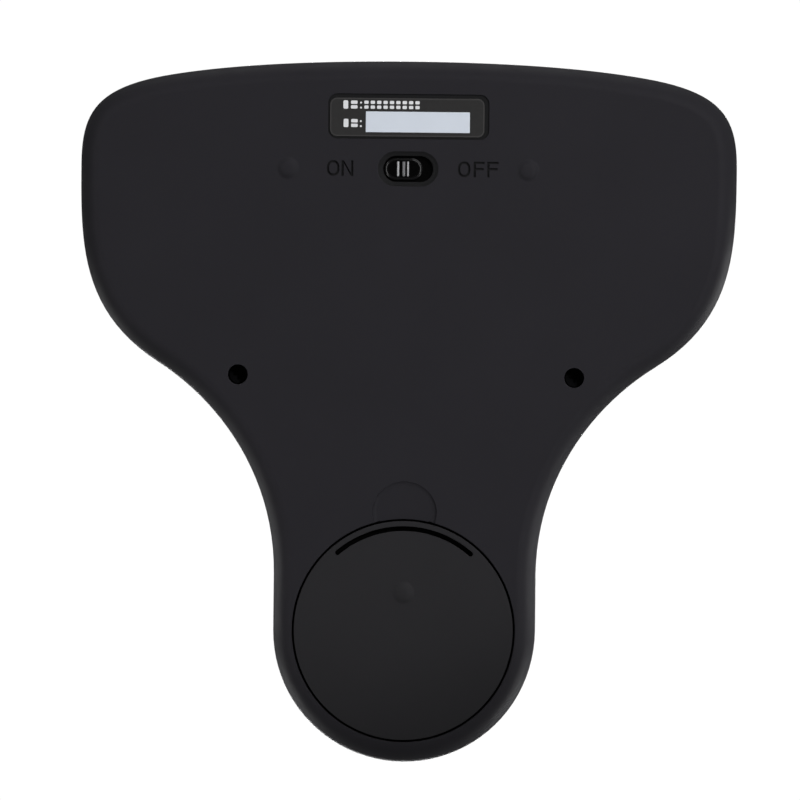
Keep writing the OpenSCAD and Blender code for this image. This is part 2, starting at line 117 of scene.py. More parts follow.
def pill(x, y, length, width, n=32):
    a = np.linspace(math.pi / 2, -math.pi / 2, n)
    r, h = width / 2, (length - width) / 2
    e = np.stack([h + r * np.cos(a), r * np.sin(a)], 1)
    return np.concatenate([e, -e]) + [x, y]


def rrect(x, y, w, h, r, n=10):
    pts = []
    for sx, sy, a0 in ((1, 1, 90), (1, -1, 0), (-1, -1, -90), (-1, 1, -180)):
        a = np.radians(np.linspace(a0, a0 - 90, n))
        pts.append(np.stack([sx * (w / 2 - r) + r * np.cos(a), sy * (h / 2 - r) + r * np.sin(a)], 1))
    return np.concatenate(pts) + [x, y]


def ring(pts, z):
    return np.column_stack([pts, np.full(len(pts), float(z))])


def new_object(name, verts, faces, scale=0.001):
    mesh = bpy.data.meshes.new(name)
    mesh.from_pydata([tuple(v) for v in np.asarray(verts, float) * scale], [], faces)
    mesh.update()
    bm = bmesh.new()
    bm.from_mesh(mesh)
    bmesh.ops.recalc_face_normals(bm, faces=bm.faces)
    bm.to_mesh(mesh)
    bm.free()
    obj = bpy.data.objects.new(name, mesh)
    bpy.context.scene.collection.objects.link(obj)
    return obj


def loft(name, rings, closed=False):
    """A solid through rings of equal length, capped at both ends or closed on itself."""
    n, m = len(rings[0]), len(rings)
    faces = []
    for k in range(m if closed else m - 1):
        a, b = k * n, ((k + 1) % m) * n
        faces += [[a + i, a + (i + 1) % n, b + (i + 1) % n, b + i] for i in range(n)]
    if not closed:
        faces += [list(range(n)), list(range((m - 1) * n, m * n))]
    return new_object(name, np.concatenate(rings), faces)


def lathe(name, profile, centre, axis="Z", n=96):
    """A solid of revolution. profile is [(r, h), ...] in mm, its ends on the axis (r = 0) or not."""
    a = 2 * math.pi * np.arange(n) / n
    rings = []
    for r, h in profile:
        c, s = max(r, 1e-4) * np.cos(a), max(r, 1e-4) * np.sin(a)
        q = np.full(n, float(h))
        cols = {"Z": (c, s, q), "X": (q, c, s)}[axis]
        rings.append(np.stack(cols, 1) + centre)
    return loft(name, rings)


def tube(name, path, r, ref, sides=12):
    """A round bar along path, where ref is a direction that it never runs along."""
    p = np.array(path, float)
    d = np.gradient(p, axis=0)
    d /= np.linalg.norm(d, axis=1)[:, None]
    u = np.cross(d, ref)
    u /= np.linalg.norm(u, axis=1)[:, None]
    v = np.cross(d, u)
    a = 2 * math.pi * np.arange(sides) / sides
    return loft(name, [p[i] + r * (np.cos(a)[:, None] * u[i] + np.sin(a)[:, None] * v[i]) for i in range(len(p))])


def box(name, x, y, sx, sy, z0, z1, r=0.0):
    if r:
        return loft(name, [ring(rrect(x, y, sx, sy, r, 6), z0), ring(rrect(x, y, sx, sy, r, 6), z1)])
    p = np.array([[x - sx / 2, y - sy / 2], [x + sx / 2, y - sy / 2], [x + sx / 2, y + sy / 2], [x - sx / 2, y + sy / 2]])
    return loft(name, [ring(p, z0), ring(p, z1)])


def soft_box(name, x, y, sx, sy, z0, z1, corner=0.5, edge=0.15, k=3):
    """A plate with round corners in plan and rounded upper and lower edges."""
    rings = []
    for b in np.linspace(0, math.pi / 2, k + 1):
        o = edge * (1 - math.sin(b))
        rings.append((o, z0 + edge * (1 - math.cos(b))))
    for b in np.linspace(math.pi / 2, 0, k + 1):
        o = edge * (1 - math.sin(b))
        rings.append((o, z1 - edge * (1 - math.cos(b))))
    return loft(name, [ring(rrect(x, y, sx - 2 * o, sy - 2 * o, max(corner - o, 0.01), 8), z) for o, z in rings])


def mouth(r, k=4):
    """The rounded edge of an opening: (depth, how much wider) from the surface inwards."""
    return [(r * (1 - math.cos(b)), r * (1 - math.sin(b))) for b in np.linspace(0, math.pi / 2, k + 1)]


def cutter(shape, surface, into, depth, r=0.2, floor=0.0, k=4):
    """A cutter that enters at z = surface and goes depth mm in direction into (+1 or -1) along z.
    shape(o) gives the opening's ring grown by o mm. Its mouth is rounded, and its floor too if asked."""
    steps = [(-1.0, r)] + mouth(r, k)
    if floor:
        steps += [(depth - floor * (1 - math.sin(b)), -floor * (1 - math.cos(b))) for b in np.linspace(0, math.pi / 2, 4)]
    else:
        steps += [(depth, 0.0)]
    return loft("cut", [ring(shape(o), surface + into * d) for d, o in steps])


def boolean(target, tool, operation):
    """Applies one boolean and removes the tool. Falls back on the exact solver."""
    for solver in ("MANIFOLD", "EXACT"):
        mod = target.modifiers.new("bool", "BOOLEAN")
        mod.operation, mod.object, mod.solver = operation, tool, solver
        dg = bpy.context.evaluated_depsgraph_get()
        mesh = bpy.data.meshes.new_from_object(target.evaluated_get(dg))
        target.modifiers.remove(mod)
        same = len(mesh.vertices) == len(target.data.vertices) and len(mesh.polygons) == len(target.data.polygons)
        if len(mesh.polygons) and not same:
            old, target.data = target.data, mesh
            bpy.data.meshes.remove(old)
            break
        bpy.data.meshes.remove(mesh)
    else:
        print("boolean had no effect:", target.name, operation)
    bpy.data.objects.remove(tool)


def cut(target, *tools):
    for tool in tools:
        boolean(target, tool, "DIFFERENCE")


def add(target, *tools):
    for tool in tools:
        boolean(target, tool, "UNION")


def shade(obj, angle=32.0):
    """Tidies the mesh, then smooth shading with sharp edges above the angle and face-weighted normals."""
    bm = bmesh.new()
    bm.from_mesh(obj.data)
    bmesh.ops.remove_doubles(bm, verts=bm.verts, dist=2e-7)
    bmesh.ops.dissolve_degenerate(bm, edges=bm.edges, dist=1e-7)
    loose = [v for v in bm.verts if not v.link_faces]
    bmesh.ops.delete(bm, geom=loose, context="VERTS")
    limit = math.radians(angle)
    for f in bm.faces:
        f.smooth = True
    for e in bm.edges:
        e.smooth = len(e.link_faces) == 2 and e.calc_face_angle(0.0) < limit
    bm.to_mesh(obj.data)
    bm.free()
    mod = obj.modifiers.new("weighted_normal", "WEIGHTED_NORMAL")
    mod.keep_sharp = True
    mod.weight = 60
    return obj


def edge_distance(points, line):
    """The distance of each point from a closed line, in plan."""
    a, b = line, np.roll(line, -1, axis=0)
    best = np.full(len(points), 1e9)
    for p, q in zip(a, b):
        d = q - p
        t = np.clip(((points - p) @ d) / (d @ d), 0, 1)
        best = np.minimum(best, np.linalg.norm(points - p - t[:, None] * d, axis=1))
    return best


def centres(obj):
    c = np.empty(len(obj.data.polygons) * 3)
    obj.data.polygons.foreach_get("center", c)
    return c.reshape(-1, 3) * 1000


def paint_gap_shade(obj, inside):
    """Gives the faces marked 1 in inside a near-black finish: painted shade on the inner faces and in the slots, gaps
    and wells.
    """
    obj.data.materials.append(GAP_SHADE_BLACK)
    obj.data.polygons.foreach_set("material_index", inside.astype(np.int32))
    obj.data.update()


def piece(obj, body, material, slot, *replaced, angle=32.0):
    shade(obj, angle)
    obj.data.materials.clear()
    obj.data.materials.append(material)
    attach(obj, body)
    if replaced:
        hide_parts(*replaced)
    return obj


# ------------------------------------------------------------------ materials
def srgb(*c):
    return tuple(((x / 255) / 12.92 if x / 255 <= 0.04045 else ((x / 255 + 0.055) / 1.055) ** 2.4) for x in c) + (1.0,)


def material(name, colour, rough, spread=0.0, grain=0.0, grain_scale=2500.0, tint=0.0, tint_scale=60.0,
             metallic=0.0, specular=0.5, ior=1.5, coat=0.0, coat_rough=0.1, mottle_scale=180.0, stretch=None,
             sheen=0.0, distance=0.00002):
    """A moulded, coated or metal surface: colour and roughness that vary a little, and a fine grain in relief."""
    mat = bpy.data.materials.new(name)
    mat.use_nodes = True
    nt = mat.node_tree
    bsdf = nt.nodes["Principled BSDF"]
    bsdf.inputs["Metallic"].default_value = metallic
    bsdf.inputs["Specular IOR Level"].default_value = specular
    bsdf.inputs["IOR"].default_value = ior
    bsdf.inputs["Coat Weight"].default_value = coat
    bsdf.inputs["Coat Roughness"].default_value = coat_rough
    bsdf.inputs["Sheen Weight"].default_value = sheen
    coord = nt.nodes.new("ShaderNodeTexCoord")
    vector = coord.outputs["Object"]
    if stretch:
        mapping = nt.nodes.new("ShaderNodeMapping")
        mapping.inputs["Scale"].default_value = stretch
        nt.links.new(vector, mapping.inputs["Vector"])
        vector = mapping.outputs["Vector"]

    def noise(scale, detail=3.0, roughness=0.55):
        node = nt.nodes.new("ShaderNodeTexNoise")
        node.inputs["Scale"].default_value = scale
        node.inputs["Detail"].default_value = detail
        node.inputs["Roughness"].default_value = roughness
        nt.links.new(vector, node.inputs["Vector"])
        return node.outputs["Fac"]

    if tint:
        mix = nt.nodes.new("ShaderNodeMix")
        mix.data_type = "RGBA"
        mix.inputs["A"].default_value = tuple(x * (1 - tint) for x in colour[:3]) + (1,)
        mix.inputs["B"].default_value = tuple(min(1, x * (1 + tint)) for x in colour[:3]) + (1,)
        nt.links.new(noise(tint_scale, 4.0), mix.inputs["Factor"])
        nt.links.new(mix.outputs["Result"], bsdf.inputs["Base Color"])
    else:
        bsdf.inputs["Base Color"].default_value = colour
    if spread:
        span = nt.nodes.new("ShaderNodeMapRange")
        span.inputs["From Min"].default_value, span.inputs["From Max"].default_value = 0.3, 0.7
        span.inputs["To Min"].default_value, span.inputs["To Max"].default_value = rough - spread, rough + spread
        nt.links.new(noise(mottle_scale), span.inputs["Value"])
        nt.links.new(span.outputs["Result"], bsdf.inputs["Roughness"])
    else:
        bsdf.inputs["Roughness"].default_value = rough
    if grain:
        bump = nt.nodes.new("ShaderNodeBump")
        bump.inputs["Strength"].default_value = grain
        bump.inputs["Distance"].default_value = distance
        nt.links.new(noise(grain_scale, 2.0, 0.6), bump.inputs["Height"])
        nt.links.new(bump.outputs["Normal"], bsdf.inputs["Normal"])
    mat.diffuse_color = colour
    return mat


SOFT_BLACK = material("soft_touch_black", srgb(38, 37, 41), 0.6, spread=0.04, grain=0.45, grain_scale=3600,
                      tint=0.09, tint_scale=35, specular=0.22)
# a lighter copy of the soft-touch black for the battery cover: painted light that makes up for the spot's fade over the
# lid
LIT_COVER_BLACK = material("soft_touch_black_lit_cover", srgb(40.5, 39.9, 42), 0.59, spread=0.04, grain=0.45, grain_scale=3600,
                       tint=0.09, tint_scale=30, specular=0.22)
# darker than the soft-touch black: painted shade in the switch's dish, the label recess and the engraved letters
RECESS_SHADE_BLACK = material("recess_shade_black", srgb(28, 28, 29), 0.6, spread=0.04, grain=0.3, grain_scale=2500, tint=0.1,
                     specular=0.15)
# near-black: painted shade for the slots, gaps, screw wells and inner faces
GAP_SHADE_BLACK = material("gap_shade_black", srgb(4, 4, 4), 0.6, spread=0.05, grain=0.3, grain_scale=1500, tint=0.1,
                     specular=0.08)
INSIDE_BLACK = material("moulded_black", srgb(22, 22, 23), 0.5, spread=0.06, grain=0.35, grain_scale=1500, tint=0.08,
                        specular=0.3)
KNOB_BLACK = material("gloss_black", srgb(5, 5, 5), 0.14, spread=0.03, grain=0.05, grain_scale=900, tint=0.1,
                      coat=0.5, coat_rough=0.06)
# pale metallic grey on the knob's ridges: painted highlight, dimmer on the middle ridge
RIDGE_HIGHLIGHT = material("ridge_painted_highlight", srgb(222, 222, 224), 0.3, spread=0.06, grain=0.1, grain_scale=2500, tint=0.08,
                 metallic=0.6, specular=0.6)
RIDGE_HIGHLIGHT_DIM = material("ridge_painted_highlight_dim", srgb(150, 150, 152), 0.34, spread=0.06, grain=0.1, grain_scale=2500, tint=0.08,
                      metallic=0.6, specular=0.5)
BUTTON_BLACK = material("satin_black", srgb(26, 26, 28), 0.38, spread=0.05, grain=0.3, grain_scale=3000, tint=0.08,
                        tint_scale=50, specular=0.4)
PRINT_BLACK = material("back_print_black", srgb(9, 9, 10), 0.35, spread=0.04, grain=0.1, grain_scale=2000, tint=0.1)
LABEL_GREY = material("label_film", srgb(48.5, 48, 48), 0.36, spread=0.02, grain=0.3, grain_scale=2600, tint=0.16,
                      tint_scale=900, specular=0.35)
# lighter grey for a ring just inside the label film's edge: painted highlight
LABEL_EDGE_HIGHLIGHT = material("label_edge_painted_highlight", srgb(66, 65, 65), 0.36, spread=0.03, grain=0.2, grain_scale=2600, tint=0.1,
                     tint_scale=300, specular=0.35)
PRINT_WHITE = material("label_ink", srgb(225, 226, 228), 0.5, spread=0.05, grain=0.2, grain_scale=3000, tint=0.03,
                       tint_scale=800)
PAPER = material("sticker_paper", srgb(212, 219, 229), 0.62, spread=0.05, grain=0.5, grain_scale=2600, tint=0.025,
                 tint_scale=240, specular=0.35)
FOAM = material("foam", srgb(58, 58, 62), 0.95, spread=0.03, grain=1.0, grain_scale=1400, tint=0.25, tint_scale=900,
                specular=0.1, distance=0.0002)
NICKEL = material("nickel_plate", srgb(226, 220, 205), 0.26, spread=0.08, grain=0.15, grain_scale=900, tint=0.06,
                  metallic=1.0, stretch=(1, 6, 1))
STEEL = material("tinned_steel", srgb(200, 200, 204), 0.34, spread=0.1, grain=0.2, grain_scale=700, tint=0.08,
                 metallic=1.0, stretch=(1, 8, 1))
ZINC = material("zinc_screw", srgb(205, 206, 212), 0.3, spread=0.08, grain=0.15, grain_scale=1200, tint=0.08, metallic=1.0)
OXIDE = material("black_oxide", srgb(24, 24, 26), 0.42, spread=0.08, grain=0.2, grain_scale=1200, tint=0.15, metallic=0.6)
BOARD = material("solder_mask", srgb(16, 84, 48), 0.3, spread=0.08, grain=0.25, grain_scale=500, tint=0.18, tint_scale=260,
                 coat=0.4, coat_rough=0.2)
PHENOLIC = material("phenolic_board", srgb(150, 116, 64), 0.55, spread=0.08, grain=0.3, grain_scale=700, tint=0.15,
                    tint_scale=300)
CHIP = material("moulded_package", srgb(26, 26, 28), 0.6, spread=0.06, grain=0.5, grain_scale=2500, tint=0.1)
CERAMIC = material("chip_ceramic", srgb(150, 124, 96), 0.45, spread=0.1, grain=0.2, grain_scale=2500, tint=0.3,
                   tint_scale=500)
CRYSTAL = material("drawn_can", srgb(214, 214, 218), 0.22, spread=0.06, grain=0.1, grain_scale=900, tint=0.05, metallic=1.0)
CAP_BLUE = material("capacitor_sleeve", srgb(32, 38, 84), 0.3, spread=0.05, grain=0.1, grain_scale=900, tint=0.08, coat=0.3)
ELASTOMER = material("elastomer", srgb(214, 150, 152), 0.7, spread=0.05, grain=0.4, grain_scale=1500, tint=0.1,
                     stretch=(40, 1, 1))
LIGHT_GUIDE = material("light_guide", srgb(236, 240, 245), 0.35, spread=0.05, grain=0.2, grain_scale=1800, tint=0.03)
POLARISER = material("polariser", srgb(20, 22, 24), 0.3, spread=0.03, grain=0.05, grain_scale=900, tint=0.08, coat=0.3)
LCD_GLASS = material("lcd_cell", srgb(150, 160, 158), 0.12, spread=0.03, grain=0.02, grain_scale=900, tint=0.04)
RED_PVC = material("red_insulation", srgb(168, 26, 22), 0.42, spread=0.05, grain=0.2, grain_scale=1200, tint=0.12)
BLACK_PVC = material("black_insulation", srgb(24, 24, 25), 0.42, spread=0.05, grain=0.2, grain_scale=1200, tint=0.12)
ORANGE_PVC = material("orange_insulation", srgb(206, 96, 34), 0.42, spread=0.05, grain=0.2, grain_scale=1200, tint=0.1)
ICON = material("icon_ink", srgb(196, 200, 204), 0.45, spread=0.05, grain=0.15, grain_scale=2500, tint=0.03)


def glass_material():
    mat = bpy.data.materials.new("smoke_window")
    mat.use_nodes = True
    nt = mat.node_tree
    bsdf = nt.nodes["Principled BSDF"]
    bsdf.inputs["Base Color"].default_value = (0.42, 0.44, 0.47, 1)
    bsdf.inputs["Transmission Weight"].default_value = 1.0
    bsdf.inputs["IOR"].default_value = 1.49
    coord = nt.nodes.new("ShaderNodeTexCoord")
    noise = nt.nodes.new("ShaderNodeTexNoise")
    noise.inputs["Scale"].default_value = 120.0
    span = nt.nodes.new("ShaderNodeMapRange")
    span.inputs["To Min"].default_value, span.inputs["To Max"].default_value = 0.02, 0.05
    nt.links.new(coord.outputs["Object"], noise.inputs["Vector"])
    nt.links.new(noise.outputs["Fac"], span.inputs["Value"])
    nt.links.new(span.outputs["Result"], bsdf.inputs["Roughness"])
    mat.diffuse_color = (0.03, 0.03, 0.035, 1)
    return mat


def segment_material():
    """Lit display segments, whose brightness and tint vary a little at random."""
    mat = bpy.data.materials.new("lit_segment")
    mat.use_nodes = True
    nt = mat.node_tree
    bsdf = nt.nodes["Principled BSDF"]
    bsdf.inputs["Base Color"].default_value = (0.7, 0.78, 0.82, 1)
    bsdf.inputs["Roughness"].default_value = 0.5
    coord = nt.nodes.new("ShaderNodeTexCoord")
    noise = nt.nodes.new("ShaderNodeTexNoise")
    noise.inputs["Scale"].default_value = 30.0
    mix = nt.nodes.new("ShaderNodeMix")
    mix.data_type = "RGBA"
    mix.inputs["A"].default_value = (0.72, 0.86, 0.95, 1)
    mix.inputs["B"].default_value = (0.82, 0.95, 1.0, 1)
    nt.links.new(coord.outputs["Object"], noise.inputs["Vector"])
    nt.links.new(noise.outputs["Fac"], mix.inputs["Factor"])
    nt.links.new(mix.outputs["Result"], bsdf.inputs["Emission Color"])
    bsdf.inputs["Emission Strength"].default_value = 2.2
    return mat


def sleeve_material(name, direction):
    """A printed battery sleeve: dark body and a copper-coloured band at the button end."""
    mat = material(name, srgb(30, 36, 44), 0.28, coat=0.35, coat_rough=0.12)
    nt = mat.node_tree
    bsdf = nt.nodes["Principled BSDF"]
    coord = nt.nodes.new("ShaderNodeTexCoord")
    sep = nt.nodes.new("ShaderNodeSeparateXYZ")
    nt.links.new(coord.outputs["Object"], sep.inputs["Vector"])
    span = nt.nodes.new("ShaderNodeMapRange")
    lo, hi = sorted((direction * 0.0095, direction * 0.0098))
    span.inputs["From Min"].default_value, span.inputs["From Max"].default_value = lo, hi
    if direction < 0:
        span.inputs["To Min"].default_value, span.inputs["To Max"].default_value = 1.0, 0.0
    nt.links.new(sep.outputs["X"], span.inputs["Value"])
    noise = nt.nodes.new("ShaderNodeTexNoise")
    noise.inputs["Scale"].default_value = 400.0
    nt.links.new(coord.outputs["Object"], noise.inputs["Vector"])
    dark = nt.nodes.new("ShaderNodeMix")
    dark.data_type = "RGBA"
    dark.inputs["A"].default_value = srgb(24, 30, 38)
    dark.inputs["B"].default_value = srgb(36, 43, 52)
    nt.links.new(noise.outputs["Fac"], dark.inputs["Factor"])
    mix = nt.nodes.new("ShaderNodeMix")
    mix.data_type = "RGBA"
    mix.inputs["B"].default_value = srgb(178, 112, 66)
    nt.links.new(dark.outputs["Result"], mix.inputs["A"])
    nt.links.new(span.outputs["Result"], mix.inputs["Factor"])
    nt.links.new(mix.outputs["Result"], bsdf.inputs["Base Color"])
    return mat


GLASS = glass_material()
SEGMENT = segment_material()

# every CAD node that stays visible gets its finish
FINISH = {
    "window_gasket": PRINT_BLACK, "lcd_glass": LCD_GLASS, "lcd_polarizer": POLARISER, "lcd_backlight": LIGHT_GUIDE,
    "lcd_frame": INSIDE_BLACK, "zebra_strips": ELASTOMER, "main_board": BOARD, "microcontroller": CHIP,
    "radio_module": STEEL, "crystal": CRYSTAL, "smoothing_capacitor": CAP_BLUE, "chip_parts": CERAMIC,
    "tact_switches": CHIP, "board_screws": ZINC, "case_screws": OXIDE, "power_switch_board": PHENOLIC,
    "power_switch_housing": STEEL, "switch_board_screws": ZINC, "power_switch_lever": INSIDE_BLACK,
    "main_plunger": INSIDE_BLACK, "up_plunger": INSIDE_BLACK, "down_plunger": INSIDE_BLACK,
    "battery_wire_red": RED_PVC, "battery_wire_black": BLACK_PVC, "switch_wires": ORANGE_PVC,
}
for name, mat in FINISH.items():
    node = NODES[name]
    node.data.materials.clear()
    node.data.materials.append(mat)

# ------------------------------------------------------------------ shared positions, in mm
FACE, SEAM, FRONT = 0.8, 12.0, 25.0
CEIL, LEDGE = FRONT - 2.4, FRONT - 1.4
LID_Y, SW_Y, LABEL_Y, MAIN_Y = -54.4, 60.6, 73.6, -50.0
ARROW_X, ARROW_Y = 14.0, -16.0
WELL_X, WELL_Y, TAIL_SCREW_Y = 41.9, 9.0, -72.5
CASE_POSTS = [(WELL_X, WELL_Y), (-WELL_X, WELL_Y), (0, TAIL_SCREW_Y)]
BOARD_POSTS = [(66, 50), (-66, 50), (24, -32), (-24, -32)]
BOARD_TOP = 17.6


def dome(x, y, foot=1.4, gentle=False):
    """A rest dome: a shallow cap with a small flat tip, that flows into the face round it."""
    prof = [(0, 0.0), (0.75, 0.0), (1.05, 0.015), (1.35, 0.06), (1.62, 0.135), (1.85, 0.24), (2.05, 0.37), (2.24, 0.515),
            (2.4, 0.625), (2.56, 0.705), (2.74, 0.765), (3.05, 0.80), (3.05, foot), (0, foot)]
    if gentle:
        cap = [(r, 4.575 - math.sqrt(4.625 ** 2 - r * r)) for r in np.linspace(0.85, 2.25, 7)]
        prof = [(0, 0.0), (0.66, 0.0)] + cap + [(2.5, 0.70), (2.75, 0.765), (3.05, 0.80), (3.05, foot), (0, foot)]
    return lathe("dome", prof, [x, y, 0], n=48)


# ------------------------------------------------------------------ rear cover
def rear_profile():
    f = FACE
    prof = [(5 * (1 - math.sin(b)), f + 7.7 * (1 - math.cos(b))) for b in np.linspace(0, math.pi / 2, 15)]
    prof += [(0, SEAM - 0.22), (0.06, SEAM - 0.08), (0.2, SEAM), (2.0, SEAM), (2.0, f + 7.7)]
    prof += [(2 + 4.3 * (1 - math.sin(b)), f + 2 + 5.7 * (1 - math.cos(b))) for b in np.linspace(math.pi / 2, 0, 8)[1:]]
    return prof


def letter_o(w, h, s, x, y, z0, z1):
    """A ring-shaped cutter, w wide and h high with a stroke of s."""
    a = -2 * math.pi * np.arange(48) / 48
    def oval(o):
        c, q = np.cos(a), np.sin(a)
        return np.stack([x + (w / 2 - o) * np.sign(c) * np.abs(c) ** 0.86, y + (h / 2 - o) * np.sign(q) * np.abs(q) ** 0.86], 1)
    return loft("letter", [ring(oval(0), z0), ring(oval(0), z1), ring(oval(s), z1), ring(oval(s), z0)], closed=True)


def letter_poly(points, x, y, z0, z1):
    """points in reading order with x to the right, as seen from below, so x is mirrored here."""
    p = np.array([[x - u, y + v] for u, v in points])
    return loft("letter", [ring(p, z0), ring(p, z1)])


def letter_n(w, h, s, x, y, z0, z1):
    a, b = w / 2, h / 2
    k = s * 1.25
    return letter_poly([(-a, -b), (-a, b), (-a + s * 1.05, b), (a - s, -b + k), (a - s, b), (a, b), (a, -b),
                        (a - s * 1.05, -b), (-a + s, b - k), (-a + s, -b)], x, y, z0, z1)


def letter_f(w, h, s, x, y, z0, z1):
    a, b = w / 2, h / 2
    return letter_poly([(-a, -b), (-a, b), (a, b), (a, b - s), (-a + s, b - s), (-a + s, 0.1 + s / 2), (a - 0.2, 0.1 + s / 2),
                        (a - 0.2, 0.1 - s / 2), (-a + s, 0.1 - s / 2), (-a + s, -b)], x, y, z0, z1)


def build_rear():
    f = FACE
    shell = loft("rear_cover_shell", [ring(outline(d), z) for d, z in rear_profile()])
    # inside features
    for x, y in CASE_POSTS:
        add(shell, lathe("boss", [(0, f + 1), (3.9, f + 1), (3.9, 8.9), (3.6, 9.2), (0, 9.2)], [x, y, 0], n=48))
    add(shell, lathe("seat", [(0, f + 1.2), (29.6, f + 1.2), (29.6, 4.3), (29.3, 4.6), (0, 4.6)], [0, LID_Y, 0], n=128))
    add(shell, box("well", 0, LID_Y, 52.6, 24.6, f + 1.2, 15.2, 1.2))
    for s in (-1, 1):
        add(shell, lathe("boss", [(0, f + 1), (2.6, f + 1), (2.6, 7.8), (0, 7.8)], [s * 14, SW_Y, 0], n=40))
        add(shell, box("rail", 0, SW_Y + s * 5, 24, 1.2, f + 1, 4))
        add(shell, box("rib", s * 30, 36, 1.2, 36, f + 1, 6))
        add(shell, box("rib", s * 56, 46, 1.2, 44, f + 1, 6))
        add(shell, dome(s * 29.9, 60.5))
    add(shell, box("rib", 0, 24, 60, 1.2, f + 1, 6))
    # screw wells
    for x, y in ((WELL_X, WELL_Y), (-WELL_X, WELL_Y)):
        cut(shell, cutter(lambda o, x=x, y=y: circle(x, y, 2.45 + o, 64), f, 1, 6.6, r=0.18))
    cut(shell, lathe("cut", [(0, 1), (2.45, 1), (2.45, 7.4), (0, 7.4)], [0, TAIL_SCREW_Y, 0], n=48))
    for x, y in CASE_POSTS:
        cut(shell, lathe("cut", [(0, 5), (1.5, 5), (1.5, 10), (0, 10)], [x, y, 0], n=32))
    for s in (-1, 1):
        cut(shell, lathe("cut", [(0, 4), (0.8, 4), (0.8, 9), (0, 9)], [s * 14, SW_Y, 0], n=24))
    # battery opening, well, hook and contact slots
    cut(shell, cutter(lambda o: circle(0, LID_Y, 27.8 + o, 192), f, 1, 2.2, r=0.22))
    cut(shell, box("cut", 0, LID_Y, 49.6, 21.6, 2, 14.2, 0.6))
    for s in (-1, 1):
        cut(shell, box("cut", s * 6, -80.6, 4, 6, 2.9, 6))
    for y in (-49, -59.8):
        cut(shell, box("cut", -26, y, 4, 3.4, 11.8, 12.6))
    # finger recess, with a sloping floor
    tilt = math.radians(-3.5)
    rings = []
    for r, z in ((6.5, 0.0), (6.8, -0.02), (7.1, -0.07), (7.35, -0.15), (7.55, -0.25), (7.72, -0.37), (7.9, -0.54), (8.05, -0.8), (8.15, -5.0)):
        p = ring(circle(0, -7.8, r, 128), z - 0.0)
        y, zz = p[:, 1].copy(), p[:, 2].copy()
        p[:, 1] = y * math.cos(tilt) - zz * math.sin(tilt) - 24.9 + 7.8
        p[:, 2] = y * math.sin(tilt) + zz * math.cos(tilt) + f + 0.38
        rings.append(p)
    cut(shell, loft("cut", rings))
    # label recess
    cut(shell, cutter(lambda o: rrect(0, LABEL_Y, 40.1 + 2 * o, 11.2 + 2 * o, 2.3 + o, 12), f, 1, 0.5, r=0.12, k=3))
    # switch opening in a dished surround
    steps = [(-1.0, 1.5), (0.0, 1.5), (0.03, 1.38), (0.14, 1.2), (0.34, 0.95), (0.5, 0.65), (0.57, 0.35), (0.62, 0.2),
             (0.68, 0.1), (0.8, 0.02), (0.95, 0.0), (4.5, 0.0)]
    cut(shell, loft("cut", [ring(pill(0, SW_Y, 12.35 + 2 * o, 6.4 + 1.7 * o), f + d) for d, o in steps]))
    # engraved marks of the switch's two positions
    z0, z1, s = -0.5, f + 0.5, 0.56
    y = 60.65
    cut(shell, letter_o(3.15, 3.85, s, 18.68, y, z0, z1))
    cut(shell, letter_n(2.95, 3.85, s, 15.13, y, z0, z1))
    cut(shell, letter_o(3.1, 3.85, s, -13.95, y, z0, z1))
    cut(shell, letter_f(2.7, 3.85, s, -17.65, y, z0, z1))
    cut(shell, letter_f(2.8, 3.85, s, -21.1, y, z0, z1))
    piece(shell, "case", SOFT_BLACK, "case_black", "rear_cover")
    c = centres(shell)
    d = edge_distance(c[:, :2], outline(0))
    skin = f + 7.7 * (1 - np.sqrt(np.clip(1 - ((5 - np.minimum(d, 5)) / 5) ** 2, 0, 1)))
    outside = (c[:, 2] <= skin + 0.3) | (d < 0.06)
    finger = np.hypot(c[:, 0], c[:, 1] + 24.9) < 8.2
    outside |= finger & (c[:, 2] < f + 1.5) & (np.hypot(c[:, 0], c[:, 1] - LID_Y) > 27.9)
    label = (np.abs(c[:, 0]) < 20.3) & (np.abs(c[:, 1] - LABEL_Y) < 6.0) & (c[:, 2] < f + 0.52)
    outside |= label
    outside |= (np.abs(c[:, 0]) < 8.2) & (np.abs(c[:, 1] - SW_Y) < 4.8) & (c[:, 2] < f + 0.75)
    outside |= (np.abs(c[:, 0]) > 12) & (np.abs(c[:, 0]) < 24) & (np.abs(c[:, 1] - 60.75) < 2.1) & (c[:, 2] < f + 0.5)
    outside &= (c[:, 2] < SEAM - 0.01)
    # index 1: every face that isn't outside gets the near-black painted shade
    index = (~outside).astype(np.int32)
    # index 2: painted shade in the switch's dish and on the label recess's floor and walls
    rim = (np.abs(c[:, 0]) < 8.4) & (np.abs(c[:, 1] - SW_Y) < 5) & (c[:, 2] > f + 0.04) & (c[:, 2] < f + 0.9)
    index[rim | (label & (c[:, 2] > f + 0.09))] = 2
    # the engraved letters' strokes get the same painted shade
    index[(np.abs(c[:, 0]) > 12) & (np.abs(c[:, 0]) < 24) & (np.abs(c[:, 1] - y) < 2.1) & (c[:, 2] > f + 0.02)
          & (c[:, 2] < f + 0.55)] = 2
    index[(np.hypot(c[:, 0], c[:, 1] - LID_Y) < 27) & (c[:, 2] > f + 2.25) & (c[:, 2] < 15.1)] = 3
    paint_gap_shade(shell, index)
    shell.data.materials.append(RECESS_SHADE_BLACK)
    shell.data.materials.append(INSIDE_BLACK)


